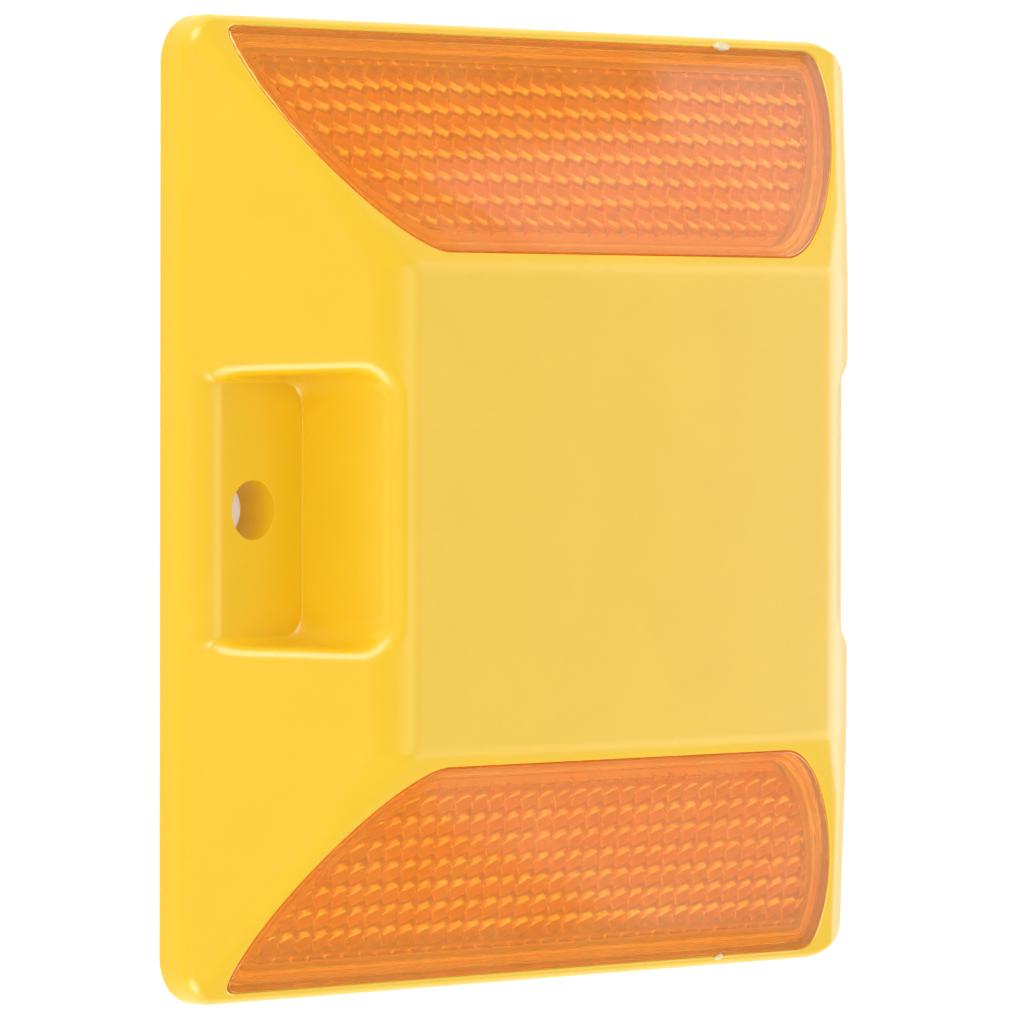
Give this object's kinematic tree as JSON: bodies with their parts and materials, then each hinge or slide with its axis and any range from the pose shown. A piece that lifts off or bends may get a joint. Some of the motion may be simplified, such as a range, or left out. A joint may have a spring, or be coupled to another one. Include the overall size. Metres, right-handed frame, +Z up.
{
  "type": "raised pavement marker",
  "caption": "Low square road marker with sloped sides, amber prism reflectors on opposite slopes and screw pockets in the other two, for marking lanes.",
  "frame": {"origin": "centre of the flat underside", "axes": "+Z up; X runs through the two screw pockets; Y is the direction of traffic, so the two reflectors face +Y and -Y"},
  "size_m": [0.1, 0.1, 0.018],
  "materials": {
    "housing_plastic": "satin moulded ABS, traffic yellow",
    "amber_lens": "clear amber acrylic, smooth outside, cube-corner prisms inside",
    "adhesive": "translucent pale adhesive",
    "backing_plastic": "plain moulded plastic, amber"
  },
  "bodies": {
    "root": {"housing": "housing_plastic", "front_lens": "amber_lens", "front_lens_bead": "adhesive", "front_reflector_backing": "backing_plastic", "rear_lens": "amber_lens", "rear_lens_bead": "adhesive", "rear_reflector_backing": "backing_plastic"}
  },
  "joints": []
}
